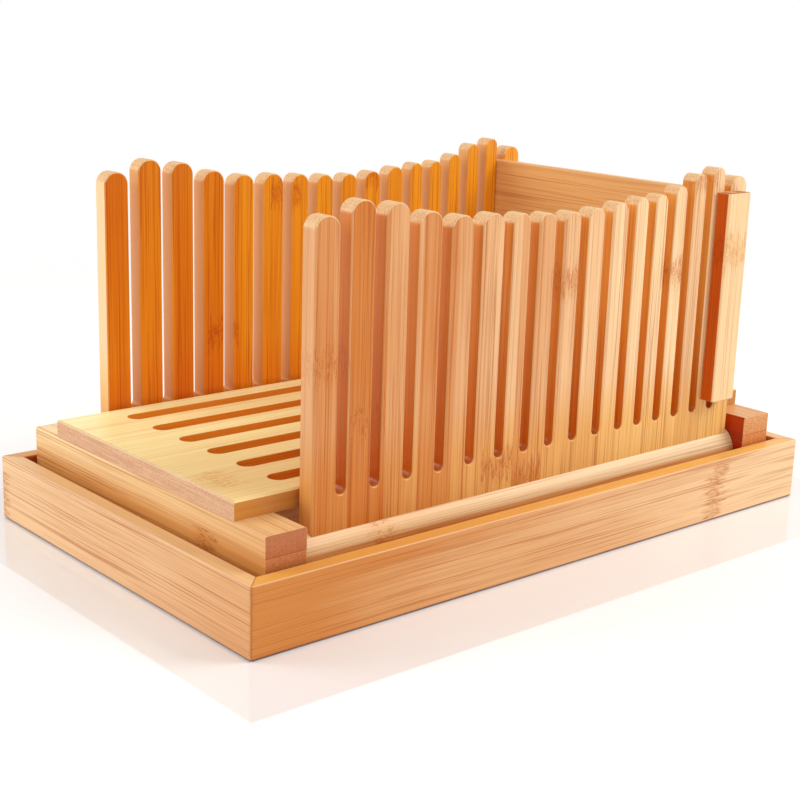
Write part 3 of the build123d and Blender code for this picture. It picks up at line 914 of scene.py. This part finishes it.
class SLICER_OT_back_stop(bpy.types.Operator):
    """Finish the back board and its two battens"""

    bl_idname = "slicer.back_stop"
    bl_label = "Back stop"

    def execute(self, context):
        colours = context.scene.slicer_colours
        board = bamboo(
            "stop_bamboo", GRAIN_X_UPRIGHT, "tray", Pale=colours.stop_pale, Warm=colours.stop_warm,
            Line_Strength=0.45, Seed=1.4,
        )
        # painted shade on the battens' front sides
        batten = bamboo(
            "batten_bamboo", GRAIN_Z, "rail", front_sides=True, Strip_Width=0.03, Strip_Shift=0.01,
            Pale=colours.batten_pale, Lines=colours.batten_dark, Side_Tint=colours.batten_side,
            Line_Strength=0.4, Seed=24.79,
        )
        finish(["back_board"], board)
        finish(both("batten"), batten)
        return {"FINISHED"}


class SLICER_OT_screws(bpy.types.Operator):
    """Finish the screws and the pivot pins in brushed zinc-plated steel"""

    bl_idname = "slicer.screws"
    bl_label = "Screws"

    def execute(self, context):
        steel = context.scene.slicer_colours.steel
        dull = [share * DULLED for share in steel]
        material, s = new_material("screw_steel")
        here = s.add("ShaderNodeTexCoord").outputs["Object"]
        stain = s.noise(s.stretched(here, STAIN_RATE))
        scratch = s.noise(s.stretched(here, SCRATCH_RATE), 3.0)
        edges = s.group(eased_edge, Radius=SCREW_EDGE)
        surface = s.principled(
            Base_Color=s.blend(s.ramp(stain, 0.35, 0.7), steel, dull),
            Roughness=s.ramp(scratch, 0.2, 0.8, bottom=0.24, top=0.42),
            Normal=s.bump(scratch, edges["Normal"], SCREW_RELIEF),
            Metallic=1.0,
        )
        s.add("ShaderNodeOutputMaterial", surface)
        finish(["board_screws"] + both("fence_screws") + both("pivot_pins"), material)
        return {"FINISHED"}


# --- studio ------------------------------------------------------------------------------------
def lamp(name, power, width, place, target):
    """A large soft lamp that looks at a point."""
    data = bpy.data.lights.new(name, "AREA")
    data.energy = power
    data.shape = "DISK"
    data.size = width
    made = bpy.data.objects.new(name, data)
    made.location = place
    made.rotation_euler = (Vector(target) - Vector(place)).to_track_quat("-Z", "Y").to_euler()
    bpy.context.scene.collection.objects.link(made)


def studio_world(strength):
    """Even white light from all round; straight looks, reflections and glass see plain white."""
    world = bpy.data.worlds.new("studio")
    world.use_nodes = True
    world.node_tree.nodes.clear()
    s = Shader(world.node_tree)
    rays = s.add("ShaderNodeLightPath").outputs
    mirrored = s.larger(rays["Is Glossy Ray"], rays["Is Transmission Ray"])
    seen = s.larger(rays["Is Camera Ray"], mirrored)
    level = s.plus(s.times(seen, 1.0 - strength), strength)
    s.add("ShaderNodeOutputWorld", s.add("ShaderNodeBackground", WHITE, level).outputs[0])
    bpy.context.scene.world = world


def floor_material(tone, mirror):
    """A pale floor that keeps the shadow, with a glossy sheet under the tray, plain white further off."""
    material, s = new_material("studio_floor")
    here = s.add("ShaderNodeTexCoord").outputs["Object"]
    seen = s.add("ShaderNodeLightPath").outputs["Is Camera Ray"]
    place = s.parts(here)
    from_side = s.minus(s.size(place[X]), TRAY_HALF_WIDTH + SHEET_SIDE)
    from_end = s.minus(s.size(place[Y]), TRAY_HALF_LENGTH + SHEET_END)
    outside = s.larger(from_side, from_end)
    on_sheet = s.ramp(outside, *SHEET_EDGE)
    matte = s.principled(
        Base_Color=s.blend(on_sheet, tone, [share * SHEET_TONE for share in tone]),
        Roughness=0.6,
        Specular_IOR_Level=0.1,
    )
    glow = s.times(seen, s.ramp(outside, *reversed(SHEET_EDGE), bottom=0.06, top=0.12))
    lift = s.add("ShaderNodeEmission", WHITE, glow).outputs[0]
    lifted = s.add("ShaderNodeAddShader", matte, lift).outputs[0]

    gloss = s.add("ShaderNodeBsdfGlossy", WHITE, 0.03).outputs[0]
    strength = s.ramp(outside, SHEET_MIDDLE, 0.0, bottom=mirror * 0.85, top=mirror * 1.15)
    near = s.add("ShaderNodeMixShader", s.times(on_sheet, strength), lifted, gloss).outputs[0]

    away = s.add("ShaderNodeVectorMath", here, operation="LENGTH").outputs["Value"]
    white = s.add("ShaderNodeEmission", WHITE).outputs[0]
    far = s.times(s.ramp(away, *WHITE_FROM), seen)
    s.add("ShaderNodeOutputMaterial", s.add("ShaderNodeMixShader", far, near, white).outputs[0])
    return material


def studio_floor(material):
    """A large disc just under the tray."""
    turns = [math.tau * step / FLOOR_STEPS for step in range(FLOOR_STEPS)]
    rim = [(FLOOR_RADIUS * math.cos(turn), FLOOR_RADIUS * math.sin(turn), FLOOR_HEIGHT) for turn in turns]
    mesh = bpy.data.meshes.new("studio_floor")
    mesh.from_pydata(rim, [], [list(range(FLOOR_STEPS))])
    mesh.materials.append(material)
    floor = bpy.data.objects.new("studio_floor", mesh)
    bpy.context.scene.collection.objects.link(floor)
    return floor


def studio_camera(studio):
    """The camera at its place, turned, tilted and rolled in that order."""
    camera = bpy.data.objects.new("camera", bpy.data.cameras.new("camera"))
    camera.data.lens = studio.lens
    camera.data.sensor_width = SENSOR
    camera.data.clip_start = NEAREST
    camera.data.clip_end = FARTHEST
    turn = Matrix.Rotation(studio.camera_yaw, 4, "Z")
    tilt = Matrix.Rotation(math.pi / 2 + studio.camera_pitch, 4, "X")
    roll = Matrix.Rotation(studio.camera_roll, 4, "Z")
    camera.matrix_world = Matrix.Translation(studio.camera_place) @ turn @ tilt @ roll
    bpy.context.scene.collection.objects.link(camera)
    bpy.context.scene.camera = camera


class SLICER_OT_stage(bpy.types.Operator):
    """Set up the floor, the lamps, the white surround and the camera"""

    bl_idname = "slicer.stage"
    bl_label = "Studio"

    def execute(self, context):
        studio = context.scene.slicer_studio
        floor = studio_floor(floor_material(context.scene.slicer_colours.floor, studio.mirror))
        lamp("key_lamp", studio.key, *KEY_LAMP)
        lamp("fill_lamp", studio.fill, *FILL_LAMP)
        lamp("front_lamp", studio.front, *FRONT_LAMP)
        studio_world(studio.sky)
        studio_camera(studio)
        context.scene.view_settings.view_transform = "Standard"
        return {"FINISHED"}


OPERATORS = (
    SLICER_OT_stage,
    SLICER_OT_tray,
    SLICER_OT_crossbars,
    SLICER_OT_board,
    SLICER_OT_fences,
    SLICER_OT_rails,
    SLICER_OT_back_stop,
    SLICER_OT_screws,
)

GROUPS = {
    "slicer_grain": SlicerGrain,
    "slicer_colours": SlicerColours,
    "slicer_studio": SlicerStudio,
}


class SLICER_PT_sidebar(bpy.types.Panel):
    """Buttons for each kind of piece, and the values behind them"""

    bl_idname = "SLICER_PT_sidebar"
    bl_label = "Bread slicer guide"
    bl_space_type = "VIEW_3D"
    bl_region_type = "UI"
    bl_category = "Slicer"

    def draw(self, context):
        for operator in OPERATORS:
            self.layout.operator(operator.bl_idname)
        for group in GROUPS:
            values = getattr(context.scene, group)
            box = self.layout.box()
            for name in values.bl_rna.properties.keys():
                if name not in ("rna_type", "name"):
                    box.prop(values, name)


def register():
    """Add the classes and hang their values on the scene."""
    for made in (*GROUPS.values(), *OPERATORS, SLICER_PT_sidebar):
        bpy.utils.register_class(made)
    for name, group in GROUPS.items():
        setattr(bpy.types.Scene, name, PointerProperty(type=group))


def unregister():
    """Take the values and the classes away again."""
    for name in GROUPS:
        delattr(bpy.types.Scene, name)
    for made in reversed((*GROUPS.values(), *OPERATORS, SLICER_PT_sidebar)):
        bpy.utils.unregister_class(made)


def main():
    """Register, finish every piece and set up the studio."""
    register()
    bpy.ops.slicer.stage()
    bpy.ops.slicer.tray()
    bpy.ops.slicer.crossbars()
    bpy.ops.slicer.board()
    bpy.ops.slicer.fences()
    bpy.ops.slicer.rails()
    bpy.ops.slicer.back_stop()
    bpy.ops.slicer.screws()


if __name__ == "__main__":
    main()
